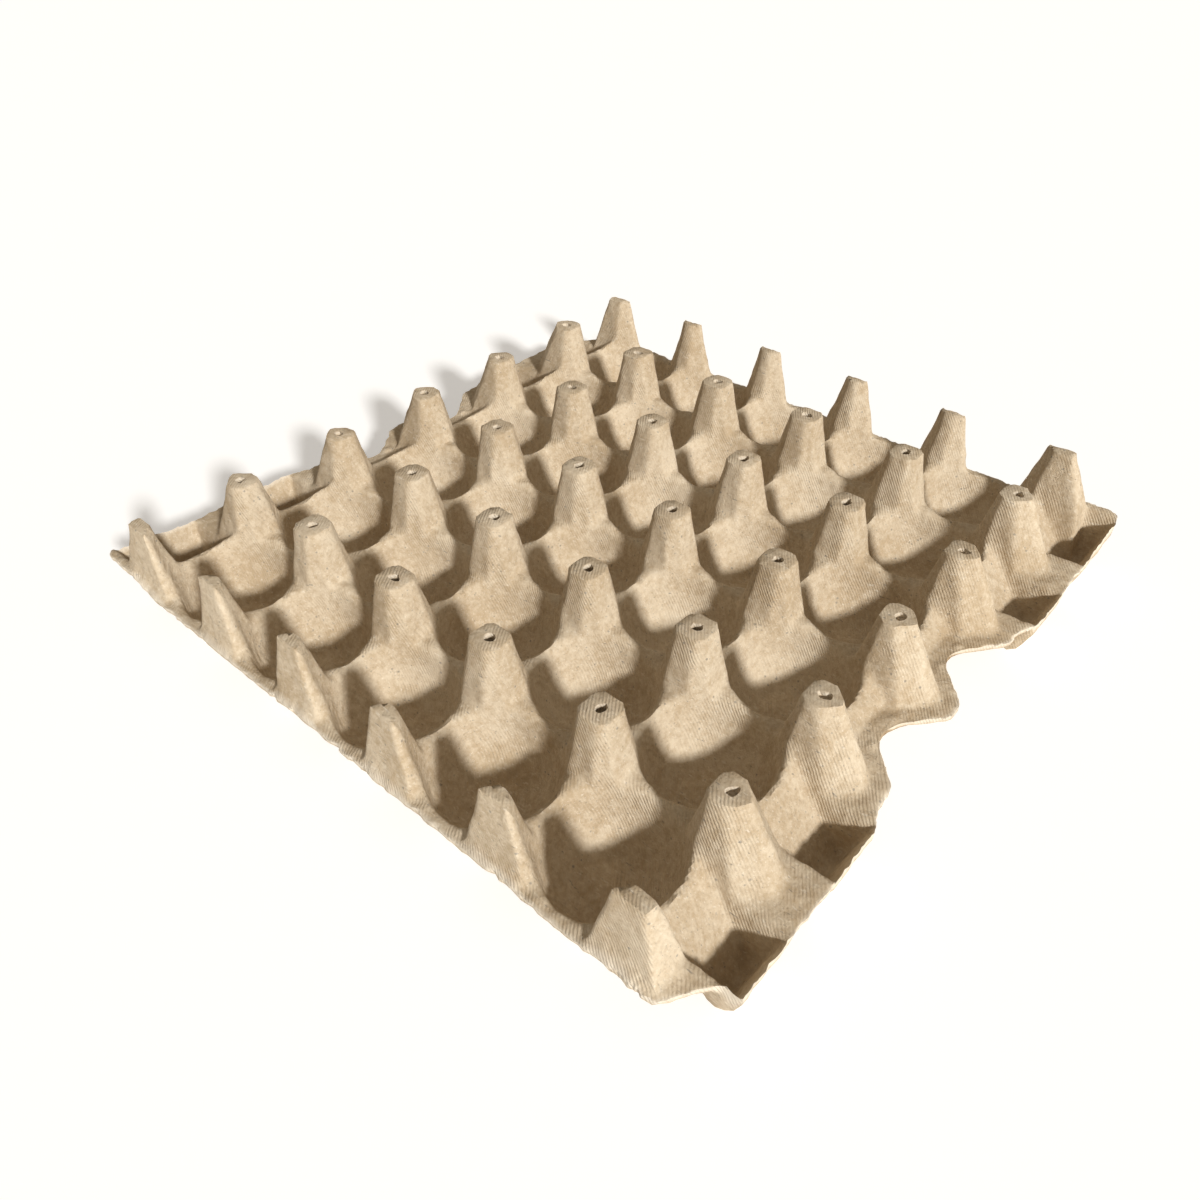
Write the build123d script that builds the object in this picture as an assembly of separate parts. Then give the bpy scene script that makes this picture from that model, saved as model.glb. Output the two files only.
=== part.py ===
from build123d import *
import os
from math import hypot, sqrt

# Moulded-pulp tray for thirty eggs: one thin shell, pressed as one piece.
# Millimetres, +Z up.  The origin is under the middle of the tray, at the level it rests on.
# The five columns of cells run along X, the six rows along Y.  The wide flanges are at the X ends.
# Every size below is of the upper face of the shell.  The lower face lies one wall below it.

# The whole tray
columns = 5
rows = 6
pitch_x = 47.5
pitch_y = 47.7
tray_height = 47.0
wall = 2.0

# The cells
cell_floor_radius = 10.5
bowl_depth = 13.0
ridge_width = 2.3
deck_drop = 22.0

# The posts between the cells
post_width = 12.0
post_corner_width = 13.4
post_flank = 0.21
vent_diameter = 4.2

# The rim along the Y sides
rim_drop = 27.0
rim_face_inset = 3.1
rim_face_slope = 0.09
rim_reach = 1.9
edge_post_depth = 5.0
deck_shoulder = 9.0

# The flange at each X end
buttress_slope = 0.48
slant_inset = 1.15
slant_slope = 0.398
flange_reach = 29.7
lobe_setback = 3.3
end_cells_with_pocket = 2

# The pockets in the flange
pocket_bottom_height = 3.0
pocket_bottom_width = 2.2
pocket_outer_slope = 0.34
pocket_edge_width = 0.92
pocket_crest_inset = 0.21

# The finger bites in the flange
bite_reach = 12.0
bite_bottom_width = 7.0
bite_mouth_width = 40.4
bite_land_drop = 0.4
bite_valley_slope = 1.33
bite_crest_inset = 0.8
bite_round = 6.5
corner_round = 6.0
flange_end_round = 1.5

# The corners: two opposite ones are cut, the other two are full and turn up a little
cut_along_rim = 12.7
cut_step = 6.4
cut_setback = 15.3
cut_round = 3.0
corner_lift = 5.0
corner_lift_length = 36.0
corner_lift_start = 4.0
corner_lift_width = 12.0
corner_pocket_setback = 3.6
corner_pocket_bottom_height = 6.0

# The nibs on the flange
nib_setback = 6.5
nib_width = 3.2
nib_top_width = 1.6
nib_height = 1.0
cut_nib_reach = 12.3
cut_nib_setback = 9.1

# Worked out from the sizes above
node_x = columns * pitch_x / 2
node_y = rows * pitch_y / 2
deck_top = tray_height - deck_drop
rim_top = tray_height - rim_drop
cell_deck_radius = min(pitch_x, pitch_y) / 2 - ridge_width / 2
cell_top_radius = hypot(pitch_x, pitch_y) / 2 - post_corner_width / 2
cell_slope = (cell_top_radius - cell_deck_radius) / deck_drop
side_half = node_y + rim_reach
end_half = node_x + flange_reach
face_at_top = node_y - rim_face_inset
slant_distance = post_width / 2 - slant_inset
pocket_bottom_end = flange_reach - pocket_edge_width - pocket_outer_slope * (rim_top - pocket_bottom_height)
pocket_bottom_start = pocket_bottom_end - pocket_bottom_width
pocket_inner_slope = (pocket_bottom_start + pocket_crest_inset) / (deck_top - pocket_bottom_height)
buried = 4.0
beyond = 15.0
spare = 0.5


def across(slope, thickness):
    """Level shift of a sloping face that moves by a thickness along its normal."""
    return thickness * hypot(1, slope)


def frustum(bottom, top):
    """Solid between two level polygons that have as many corners."""
    faces = [Face(Wire.make_polygon(bottom)), Face(Wire.make_polygon(top))]
    for side in range(len(bottom)):
        following = (side + 1) % len(bottom)
        loop = [bottom[side], bottom[following], top[following], top[side]]
        faces.append(Face(Wire.make_polygon(loop)))
    return Solid(Shell(faces))


def flat_block(low, high):
    """Solid between two level rectangles, each given as x_min, x_max, y_min, y_max, z."""
    corners = []
    for x_min, x_max, y_min, y_max, z in (low, high):
        corners.append([(x_min, y_min, z), (x_max, y_min, z), (x_max, y_max, z), (x_min, y_max, z)])
    return frustum(*corners)


def turned(shape):
    """Copy of a shape at the opposite end of the tray, half a turn about the middle."""
    return Rot(0, 0, 180) * shape


def both_ends(shapes):
    """Shapes and their copies at the opposite end."""
    return shapes + [turned(shape) for shape in shapes]


def cell_centres():
    """Middle of every cell."""
    for column in range(columns):
        for row in range(rows):
            yield (column + 0.5) * pitch_x - node_x, (row + 0.5) * pitch_y - node_y


def cell_cavity(below):
    """Space in and over one cell: a bowl under a widening cone, grown by what lies below."""
    floor = wall
    bowl_top = floor + bowl_depth
    bowl_radius = cell_deck_radius - cell_slope * (deck_top - bowl_top)
    top = tray_height + buried
    top_radius = cell_top_radius + cell_slope * buried
    tangent = (-cell_slope, -1)
    upper = Line((top_radius, top), (bowl_radius, bowl_top))
    bowl = TangentArc((bowl_radius, bowl_top), (cell_floor_radius, floor), tangent=tangent)
    rest = Polyline((cell_floor_radius, floor), (0, floor), (0, top), (top_radius, top))
    profile = make_face(upper + bowl + rest)
    if below > 0:
        profile = offset(profile, below, kind=Kind.INTERSECTION)
        half_plane = Pos(tray_height, 0) * Rectangle(2 * tray_height, 4 * tray_height)
        profile = profile & half_plane
    return revolve(Plane.XZ * profile, Axis.Z)


def post_block(x, y, below):
    """One post between four cells, before the cells cut its corners."""
    low = deck_top - buried
    high = tray_height - below
    shift = across(post_flank, below)
    rectangles = []
    for z in (low, high):
        half = post_width / 2 + post_flank * (tray_height - z) - shift
        rectangles.append((x - half, x + half, y - half, y + half, z))
    return flat_block(*rectangles)


def face_distance(z, below):
    """Distance from the middle to the outer face of the posts along the Y sides."""
    return face_at_top + rim_face_slope * (tray_height - z) - across(rim_face_slope, below)


def side_post_block(x, below):
    """One post on the +Y rim, cut off by its flat outer face."""
    low = rim_top - buried
    high = tray_height - below
    shift = across(post_flank, below)
    rectangles = []
    for z in (low, high):
        spread = post_flank * (tray_height - z) - shift
        half = post_width / 2 + spread
        inner = face_at_top - edge_post_depth - spread
        rectangles.append((x - half, x + half, inner, face_distance(z, below), z))
    return flat_block(*rectangles)


def end_post_limits(z, below):
    """Inner and outer limit in X of the posts at the +X end, with their buttresses."""
    fall = tray_height - z
    x_min = node_x - post_width / 2 - post_flank * fall + across(post_flank, below)
    x_max = node_x + post_width / 2 + buttress_slope * fall - across(buttress_slope, below)
    return x_min, x_max


def end_post(y, below):
    """Post at the +X end: its buttress has a narrow outer face between two slanting ones.

    The slanting faces stand at 45 degrees in plan.  The valleys trim the post's flanks.
    """
    levels = []
    for z in (rim_top - buried, tray_height - below):
        fall = tray_height - z
        x_min, x_max = end_post_limits(z, below)
        half = post_width / 2 + post_flank * fall - across(post_flank, below) + spare
        slant = sqrt(2) * (slant_distance + slant_slope * fall - across(slant_slope, below))
        x_slant = node_x + slant - half
        y_slant = slant - (x_max - node_x)
        near_side = [(x_min, y - half, z), (x_slant, y - half, z), (x_max, y - y_slant, z)]
        far_side = [(x_max, y + y_slant, z), (x_slant, y + half, z), (x_min, y + half, z)]
        levels.append(near_side + far_side)
    return frustum(*levels)


def corner_post(side, below):
    """Post at a corner of the +X end: side is -1 for the cut corner and 1 for the full one."""
    rectangles = []
    for z in (rim_top - buried, tray_height - below):
        x_min, x_max = end_post_limits(z, below)
        spread = post_flank * (tray_height - z) - across(post_flank, below) + spare
        inner = side * (face_at_top - edge_post_depth - spread)
        outer = side * face_distance(z, below)
        rectangles.append((x_min, x_max, min(inner, outer), max(inner, outer), z))
    return flat_block(*rectangles)


def row_limits(row):
    """Where the flanks of the end posts beside a row stand at the top of the tray."""
    y_min = row * pitch_y - node_y + post_width / 2
    y_max = (row + 1) * pitch_y - node_y - post_width / 2
    if row == 0:
        y_min = -face_at_top + edge_post_depth
    if row == rows - 1:
        y_max = face_at_top - edge_post_depth
    return y_min, y_max


def valley(row, bottom_height, inner, inner_slope, outer, outer_slope, below):
    """Space between two buttresses: four sloping sides over a flat bottom."""
    y_min, y_max = row_limits(row)
    flank_shift = across(post_flank, below)
    low = bottom_height - below
    high = tray_height + buried
    rectangles = []
    for z in (low, high):
        rise = z - bottom_height
        narrowing = post_flank * (tray_height - z) - flank_shift
        x_min = inner - inner_slope * rise - across(inner_slope, below)
        x_max = outer + outer_slope * rise + across(outer_slope, below)
        rectangles.append((x_min, x_max, y_min + narrowing, y_max - narrowing, z))
    return flat_block(*rectangles)


def pocket(row, below):
    """Deep pocket in the +X flange beside a row, with the valley over it."""
    inner = node_x + pocket_bottom_start
    outer = node_x + pocket_bottom_end
    return valley(row, pocket_bottom_height, inner, pocket_inner_slope, outer, pocket_outer_slope, below)


def open_valley(row, below):
    """Valley over a finger bite: it ends on the flange and runs out past its edge."""
    height = rim_top - bite_land_drop
    inner = node_x - bite_crest_inset + bite_valley_slope * (deck_top - height)
    return valley(row, height, inner, bite_valley_slope, end_half + beyond, 0, below)


def has_pocket(row):
    """True for the rows whose end cell has a pocket instead of a bite."""
    return row < end_cells_with_pocket or row >= rows - end_cells_with_pocket


def corner_pocket(below):
    """Part of the last pocket that runs on behind the buttress of the full corner."""
    inner = node_x + pocket_bottom_start
    outer = node_x + pocket_bottom_end
    y_low = node_y - pitch_y / 2
    low = corner_pocket_bottom_height - below
    high = rim_top + corner_lift + buried
    rectangles = []
    for z in (low, high):
        depth = rim_top + corner_lift - z
        rise = z - pocket_bottom_height
        y_high = side_half - corner_pocket_setback - pocket_outer_slope * depth
        y_high += across(pocket_outer_slope, below)
        x_min = inner - post_flank * rise - across(post_flank, below)
        x_max = outer + pocket_outer_slope * rise + across(pocket_outer_slope, below)
        rectangles.append((x_min, x_max, y_low, y_high, z))
    return flat_block(*rectangles)


def cut_corner_space(below):
    """Space that shortens the buttress at the cut corner to a plain post flank."""
    low = rim_top - bite_land_drop - below
    high = tray_height + buried
    shift = across(post_flank, below)
    rectangles = []
    for z in (low, high):
        x_min = node_x + post_width / 2 + post_flank * (tray_height - z) - shift
        y_max = -node_y + pitch_y / 2
        rectangles.append((x_min, end_half + beyond, -side_half - beyond, y_max, z))
    return flat_block(*rectangles)


def rising_block(plane, start, slope, below, width):
    """Everything under a plane that rises from the rim's level, past a start along the section."""
    end = start + (corner_lift + beyond) / slope
    drop = across(slope, below)
    bottom = rim_top - buried - drop
    ramp = Polyline(
        (start - buried / slope, bottom),
        (end, rim_top + slope * (end - start) - drop),
        (end, bottom - buried),
        (start - buried / slope, bottom - buried),
        close=True,
    )
    return extrude(plane * make_face(ramp), width, both=True)


def corner_wedge(below):
    """Ramp by which the flange turns up towards the full corner."""
    towards_side = side_half - corner_lift_length
    towards_end = node_x - corner_lift_start
    side_slope = corner_lift / corner_lift_length
    end_slope = corner_lift / corner_lift_width
    ramp = rising_block(Plane.YZ, towards_side, side_slope, below, end_half + beyond)
    return ramp & rising_block(Plane.XZ, towards_end, end_slope, below, side_half + beyond)


def body_under(below):
    """Everything under one face of the shell: below is 0 for the upper face."""
    base = -buried - below
    x_far = end_half + beyond
    y_far = side_half + beyond
    plate = flat_block((-x_far, x_far, -y_far, y_far, base), (-x_far, x_far, -y_far, y_far, rim_top - below))
    deck_shift = across(1, below)
    deck_rectangles = []
    for z in (rim_top - buried, deck_top - below):
        y_half = side_half - deck_shoulder + (deck_top - z) - deck_shift
        x_half = node_x + post_width / 2 - below
        deck_rectangles.append((-x_half, x_half, -y_half, y_half, z))
    deck = flat_block(*deck_rectangles)

    posts = []
    for column in range(1, columns):
        x = column * pitch_x - node_x
        for row in range(1, rows):
            posts.append(post_block(x, row * pitch_y - node_y, below))
        posts.extend(both_ends([side_post_block(x, below)]))
    end_posts = [end_post(row * pitch_y - node_y, below) for row in range(1, rows)]
    end_posts += [corner_post(-1, below), corner_post(1, below)]
    raised = both_ends(end_posts + [corner_wedge(below)])

    hollow = cell_cavity(below)
    spaces = [Pos(x, y, 0) * hollow for x, y in cell_centres()]
    end_spaces = [corner_pocket(below), cut_corner_space(below)]
    for row in range(rows):
        end_spaces.append(pocket(row, below) if has_pocket(row) else open_valley(row, below))
    spaces.extend(both_ends(end_spaces))
    return plate.fuse(deck, *posts, *raised).cut(*spaces)


def end_outline():
    """Edge of the +X flange from the cut corner to the full one: points, each with its rounding."""
    lobe = end_half - lobe_setback
    cut_end = -side_half + cut_setback
    first_bite = end_cells_with_pocket
    last_bite = rows - end_cells_with_pocket
    pocket_end = first_bite * pitch_y - node_y - post_width
    points = [
        (node_x + cut_along_rim, -side_half, corner_round),
        (end_half - cut_step, cut_end, cut_round),
        (end_half, cut_end, flange_end_round),
        (end_half, pocket_end, corner_round),
        (lobe, pocket_end + corner_round, corner_round),
    ]
    for row in range(first_bite, last_bite):
        middle = (row + 0.5) * pitch_y - node_y
        points.append((lobe, middle - bite_mouth_width / 2, bite_round))
        points.append((node_x + bite_reach, middle - bite_bottom_width / 2, bite_round))
        points.append((node_x + bite_reach, middle + bite_bottom_width / 2, bite_round))
        points.append((lobe, middle + bite_mouth_width / 2, bite_round))
    points.append((lobe, -pocket_end - corner_round, corner_round))
    points.append((end_half, -pocket_end, corner_round))
    points.append((end_half, side_half, corner_round))
    return points


def trimming():
    """Tall block with the tray's outline, the same at both ends after half a turn."""
    one_end = end_outline()
    other_end = [(-x, -y, rounding) for x, y, rounding in one_end]
    corners = [(x, y) for x, y, rounding in one_end + other_end]
    roundings = [rounding for x, y, rounding in one_end + other_end]
    face = make_face(FilletPolyline(*corners, radius=roundings, close=True))
    return Pos(0, 0, -buried) * extrude(face, tray_height + 2 * buried)


def vents():
    """Round holes through the tops of the posts that stand between four cells or at the ends."""
    drill = Cylinder(vent_diameter / 2, 2 * (wall + buried))
    holes = []
    for column in range(columns + 1):
        for row in range(1, rows):
            x = column * pitch_x - node_x
            y = row * pitch_y - node_y
            holes.append(Pos(x, y, tray_height) * drill)
    return holes


def nibs():
    """Small raised buttons at the foot of each whole buttress and on the land of the cut corner."""
    button = Cone(nib_width / 2, nib_top_width / 2, nib_height + wall / 2)
    height = rim_top + (nib_height - wall / 2) / 2
    feet = [(end_half - nib_setback, row * pitch_y - node_y) for row in range(1, rows)]
    feet.append((node_x + cut_nib_reach, cut_nib_setback - node_y))
    return both_ends([Pos(x, y, height) * button for x, y in feet])


def egg_tray():
    """The whole tray: what lies under the upper face, less what lies under the lower face."""
    shell = body_under(0).cut(body_under(wall))
    shell = shell.fuse(*nibs())
    shell = trimming() & shell
    return shell - vents()


os.makedirs("parts", exist_ok=True)
tray = egg_tray()
export_step(tray, "parts/egg_tray.step")
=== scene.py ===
"""Moulded-pulp tray for thirty eggs: one pressed shell on a pale studio floor.

Shapes are worked out in millimetres and put into the mesh in metres.
"""
import logging
import math
from dataclasses import dataclass, field
from enum import Enum

import bpy
import numpy as np
from mathutils import Euler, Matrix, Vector


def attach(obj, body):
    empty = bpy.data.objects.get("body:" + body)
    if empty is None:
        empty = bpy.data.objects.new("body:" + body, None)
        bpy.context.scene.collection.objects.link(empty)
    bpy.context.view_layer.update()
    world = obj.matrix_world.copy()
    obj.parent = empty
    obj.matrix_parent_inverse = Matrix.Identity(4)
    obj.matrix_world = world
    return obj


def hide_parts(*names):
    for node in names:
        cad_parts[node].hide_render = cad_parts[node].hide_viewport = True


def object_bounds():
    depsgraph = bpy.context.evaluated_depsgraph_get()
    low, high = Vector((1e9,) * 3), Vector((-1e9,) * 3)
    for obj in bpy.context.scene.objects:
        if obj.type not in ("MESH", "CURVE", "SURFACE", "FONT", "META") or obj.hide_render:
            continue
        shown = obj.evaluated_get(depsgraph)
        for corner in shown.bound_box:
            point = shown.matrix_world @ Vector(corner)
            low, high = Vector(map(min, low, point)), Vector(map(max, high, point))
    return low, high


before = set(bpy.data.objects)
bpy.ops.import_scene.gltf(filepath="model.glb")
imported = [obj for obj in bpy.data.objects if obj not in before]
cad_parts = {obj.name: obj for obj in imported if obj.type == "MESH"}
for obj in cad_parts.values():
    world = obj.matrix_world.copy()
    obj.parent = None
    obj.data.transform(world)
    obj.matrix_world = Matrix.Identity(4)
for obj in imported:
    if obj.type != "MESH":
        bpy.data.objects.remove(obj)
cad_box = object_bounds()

Array = np.ndarray
Socket = bpy.types.NodeSocket
MILLIMETRE = 0.001
NOWHERE = 1.0e3
CREASE = math.radians(48.0)

log = logging.getLogger("egg_tray")


class Side(Enum):
    """The two faces of the shell, by how far each lies below the upper one."""

    UPPER = 0.0
    LOWER = 2.0


@dataclass(frozen=True)
class TraySizes:
    """Sizes of the tray's upper face, in millimetres."""

    columns: int = 5
    rows: int = 6
    pitch_x: float = 47.5
    pitch_y: float = 47.7
    height: float = 47.0
    floor: float = 2.0
    floor_radius: float = 10.5
    bowl_depth: float = 13.0
    ridge: float = 2.3
    deck: float = 25.0
    rim: float = 20.0
    post: float = 12.0
    post_corner: float = 13.4
    flank: float = 0.21
    vent: float = 4.2
    face_inset: float = 3.1
    face_slope: float = 0.09
    rim_reach: float = 1.9
    edge_post: float = 5.0
    shoulder: float = 9.0
    buttress: float = 0.48
    slant_distance: float = 4.85
    slant: float = 0.398
    flange: float = 29.7
    lobe: float = 26.4
    pocket_floor: float = 3.0
    pocket_start: float = 20.8
    pocket_width: float = 2.2
    pocket_inner: float = 0.955
    pocket_outer: float = 0.34
    bite: float = 12.0
    bite_bottom: float = 7.0
    bite_mouth: float = 40.4
    land_drop: float = 0.4
    valley_slope: float = 1.33
    crest_inset: float = 0.8
    corner_lift: float = 5.0
    corner_run: float = 36.0
    corner_start: float = 4.0
    corner_fade: float = 12.0
    corner_floor: float = 6.0
    corner_setback: float = 3.6
    cut_on_rim: float = 12.7
    cut_on_flange: float = 23.3
    cut_back: float = 15.3
    rib_start: float = 17.5
    rib_end: float = 23.8
    rib_width: float = 1.5
    rib_height: float = 0.9
    stub_height: float = 0.8
    dimple_width: float = 2.2
    dimple_depth: float = 0.35
    corner_nib_reach: float = 12.25
    corner_nib_setback: float = 9.1

    @property
    def node_x(self) -> float:
        """Distance from the middle to the last line of posts along X."""
        return self.columns * self.pitch_x / 2

    @property
    def node_y(self) -> float:
        """Distance from the middle to the last line of posts along Y."""
        return self.rows * self.pitch_y / 2

    @property
    def face_top(self) -> float:
        """Distance from the middle to the outer face of the side posts, at their top."""
        return self.node_y - self.face_inset

    @property
    def side(self) -> float:
        """Distance from the middle to the edge of the side rims."""
        return self.node_y + self.rim_reach

    @property
    def end(self) -> float:
        """Distance from the middle to the edge of the flanges."""
        return self.node_x + self.flange

    @property
    def deck_radius(self) -> float:
        """Radius of a cell at the level of the ridges."""
        return min(self.pitch_x, self.pitch_y) / 2 - self.ridge / 2

    @property
    def cell_slope(self) -> float:
        """How far a cell widens for each millimetre of height."""
        top_radius = math.hypot(self.pitch_x, self.pitch_y) / 2 - self.post_corner / 2
        return (top_radius - self.deck_radius) / (self.height - self.deck)


@dataclass(frozen=True)
class Ripple:
    """Smooth random field: a sum of plane waves with directions and phases drawn from a seed."""

    seed: int
    wavelength: float
    waves: int = 14

    def at(self, points: Array) -> Array:
        """Field over points.

        The sum over the waves of sin(k . p + phase), divided by the root of half their number;
        each k has a random direction and a length near 2 pi over the wavelength.

        Args:
            points: Positions in millimetres, last axis 3.

        Returns:
            Values with a spread of about one.
        """
        dice = np.random.default_rng(self.seed)
        directions = dice.normal(size=(3, self.waves))
        directions /= np.linalg.norm(directions, axis=0)
        lengths = 2 * np.pi / self.wavelength * dice.uniform(0.6, 1.5, self.waves)
        phases = dice.uniform(0, 2 * np.pi, self.waves)
        return np.sin(points @ (directions * lengths) + phases).sum(axis=-1) / math.sqrt(self.waves / 2)


@dataclass(frozen=True)
class TrayForm:
    """The pressed shape, as the height of either face over every point of the plan."""

    sizes: TraySizes = TraySizes()

    @staticmethod
    def shift(slope: float, below: float) -> float:
        """Level shift of a sloping face that moves by `below` along its normal."""
        return below * math.hypot(1.0, slope)

    def posts(self, x: Array, y: Array, below: float) -> Array:
        """Posts between four cells: a square frustum on the nearest node of the lattice.

        Height is the top less the distance past the half width over the flank's slope.

        Args:
            x: Distance along the columns.
            y: Distance along the rows.
            below: Depth under the upper face.

        Returns:
            Height of the posts, far below the tray where there is none.
        """
        s = self.sizes
        column = np.clip(np.round(x / s.pitch_x + s.columns / 2), 1, s.columns - 1)
        row = np.clip(np.round(y / s.pitch_y + s.rows / 2), 0, s.rows)
        from_x = np.abs(x - (column - s.columns / 2) * s.pitch_x)
        from_y = np.abs(y - (row - s.rows / 2) * s.pitch_y)
        shift = self.shift(s.flank, below)
        flank = s.height - (from_x - s.post / 2 + shift) / s.flank
        inner = s.height - (from_y - s.post / 2 + shift) / s.flank
        edge = s.height - (s.face_top - s.edge_post + shift - np.abs(y)) / s.flank
        face = s.height - (np.abs(y) - s.face_top + self.shift(s.face_slope, below)) / s.face_slope
        outermost = (row == 0) | (row == s.rows)
        across = np.where(outermost, np.minimum(edge, face), inner)
        return np.minimum(np.minimum(flank, across), s.height - below)

    def end_wall(self, u: Array, v: Array, below: float) -> Array:
        """Last line of posts with their buttresses: a narrow outer face between two slanting ones.

        The slanting faces stand at 45 degrees in plan: along x plus the distance from the node.

        Args:
            u: Distance from the middle along the columns.
            v: Distance along the rows, turned with the end.
            below: Depth under the upper face.

        Returns:
            Height of the wall before the valleys are cut into it.
        """
        s = self.sizes
        row = np.clip(np.round(v / s.pitch_y + s.rows / 2), 0, s.rows)
        beside = np.abs(v - (row - s.rows / 2) * s.pitch_y)
        inner = s.height - (s.node_x - s.post / 2 + self.shift(s.flank, below) - u) / s.flank
        outer = s.height - (u - s.node_x - s.post / 2 + self.shift(s.buttress, below)) / s.buttress
        along = (u - s.node_x + beside) / math.sqrt(2.0)
        slanting = s.height - (along - s.slant_distance + self.shift(s.slant, below)) / s.slant
        whole = (row > 0) & (row < s.rows)
        outer = np.where(whole, np.minimum(outer, slanting), outer)
        face = s.height - (np.abs(v) - s.face_top + self.shift(s.face_slope, below)) / s.face_slope
        return np.minimum(np.minimum(inner, outer), np.minimum(face, s.height - below))

    def deck(self, u: Array, v: Array, below: float) -> Array:
        """Ridge level between the cells, sloping down to the side rims at 45 degrees."""
        s = self.sizes
        sloping = s.deck + s.side - s.shoulder - self.shift(1.0, below) - np.abs(v)
        inside = u < s.node_x + s.post / 2 - below
        return np.where(inside, np.minimum(sloping, s.deck - below), -NOWHERE)

    def corner_ramp(self, u: Array, v: Array, below: float) -> Array:
        """Flange turning up to the full corner: the lower of a ramp along Y and a steeper one along X."""
        s = self.sizes
        slope = s.corner_lift / s.corner_run
        steeper = s.corner_lift / s.corner_fade
        along = slope * (v - s.side + s.corner_run) - self.shift(slope, below)
        across = steeper * (u - s.node_x + s.corner_start) - self.shift(steeper, below)
        return s.rim + np.minimum(along, across)

    def cells(self, x: Array, y: Array, below: float) -> Array:
        """Cells: a flat floor, an arc that leaves it, then a cone tangent to the arc.

        The arc's centre lies on the cone's normal, at equal distances from both its ends.

        Args:
            x: Distance along the columns.
            y: Distance along the rows.
            below: Depth under the upper face.

        Returns:
            Height of the lower boundary of the space in the nearest cell.
        """
        s = self.sizes
        column = np.clip(np.floor(x / s.pitch_x + s.columns / 2), 0, s.columns - 1)
        row = np.clip(np.floor(y / s.pitch_y + s.rows / 2), 0, s.rows - 1)
        from_x = x - (column + 0.5 - s.columns / 2) * s.pitch_x
        from_y = y - (row + 0.5 - s.rows / 2) * s.pitch_y
        radius = np.hypot(from_x, from_y)
        bowl_top = s.floor + s.bowl_depth
        start = np.array([s.deck_radius - s.cell_slope * (s.deck - bowl_top), bowl_top])
        normal = np.array([-1.0, s.cell_slope]) / math.hypot(1.0, s.cell_slope)
        run = np.array([s.floor_radius, s.floor]) - start
        bend = float(run @ run) / (2.0 * float(normal @ run))
        centre = start + bend * normal
        reach = bend + below
        inside = np.clip(radius - centre[0], 0.0, reach)
        bowl = np.maximum(s.floor - below, centre[1] - np.sqrt(reach * reach - inside * inside))
        cone = s.deck + (radius - s.deck_radius - self.shift(s.cell_slope, below)) / s.cell_slope
        return np.where(radius < start[0] - below * normal[0], bowl, cone)

    def flanks(self, v: Array, below: float) -> Array:
        """Two sides of the valley beside a row: the flanks of the buttresses there."""
        s = self.sizes
        row = np.clip(np.floor(v / s.pitch_y + s.rows / 2), 0, s.rows - 1)
        low = (row - s.rows / 2) * s.pitch_y + s.post / 2
        high = low + s.pitch_y - s.post
        low = np.where(row == 0, s.edge_post - s.face_top, low)
        high = np.where(row == s.rows - 1, s.face_top - s.edge_post, high)
        nearer = np.minimum(v - low, high - v) + self.shift(s.flank, below)
        return s.height - nearer / s.flank

    def valleys(self, u: Array, v: Array, below: float) -> Array:
        """Spaces between the buttresses: a pocket beside the end rows, an open valley beside the rest."""
        s = self.sizes
        row = np.clip(np.floor(v / s.pitch_y + s.rows / 2), 0, s.rows - 1)
        start = s.node_x + s.pocket_start
        inner = s.pocket_floor + (start - self.shift(s.pocket_inner, below) - u) / s.pocket_inner
        past = u - start - s.pocket_width - self.shift(s.pocket_outer, below)
        outer = s.pocket_floor + past / s.pocket_outer
        pocket = np.maximum(np.maximum(inner, outer), s.pocket_floor - below)
        land = s.rim - s.land_drop
        crest = s.node_x - s.crest_inset + s.valley_slope * (s.deck - land)
        slope = land + (crest - self.shift(s.valley_slope, below) - u) / s.valley_slope
        opening = np.maximum(slope, land - below)
        ground = np.where((row < 2) | (row > s.rows - 3), pocket, opening)
        return np.maximum(ground, self.flanks(v, below))

    def corner_pocket(self, u: Array, v: Array, below: float) -> Array:
        """Part of the last pocket that runs on behind the buttress of the full corner."""
        s = self.sizes
        start = s.node_x + s.pocket_start
        inner = s.pocket_floor + (start - self.shift(s.flank, below) - u) / s.flank
        past = u - start - s.pocket_width - self.shift(s.pocket_outer, below)
        outer = s.pocket_floor + past / s.pocket_outer
        limit = s.side - s.corner_setback + self.shift(s.pocket_outer, below)
        end = s.rim + s.corner_lift + (v - limit) / s.pocket_outer
        space = np.maximum(np.maximum(inner, outer), np.maximum(end, s.corner_floor - below))
        return np.where(v > s.node_y - s.pitch_y / 2, space, NOWHERE)

    def cut_corner(self, u: Array, v: Array, below: float) -> Array:
        """Space that shortens the buttress at the cut corner to a plain post flank."""
        s = self.sizes
        flank = s.height - (u - s.node_x - s.post / 2 + self.shift(s.flank, below)) / s.flank
        space = np.maximum(flank, s.rim - s.land_drop - below)
        return np.where(v < s.pitch_y / 2 - s.node_y, space, NOWHERE)

    def height(self, x: Array, y: Array, below: float) -> Array:
        """Height of one face: the highest solid over each point, cut down to the lowest space.

        Args:
            x: Distance along the columns.
            y: Distance along the rows.
            below: Depth under the upper face.

        Returns:
            Height over the floor, in millimetres.
        """
        s = self.sizes
        turn = np.where(x < 0, -1.0, 1.0)
        u, v = np.abs(x), turn * y
        solid = np.maximum(s.rim - below, self.deck(u, v, below))
        solid = np.maximum(solid, self.posts(x, y, below))
        solid = np.maximum(solid, self.end_wall(u, v, below))
        solid = np.maximum(solid, self.corner_ramp(u, v, below))
        space = np.minimum(self.cells(x, y, below), self.valleys(u, v, below))
        space = np.where(u > s.node_x - s.post, space, self.cells(x, y, below))
        space = np.minimum(space, self.corner_pocket(u, v, below))
        space = np.minimum(space, self.cut_corner(u, v, below))
        return np.minimum(solid, space)


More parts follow.
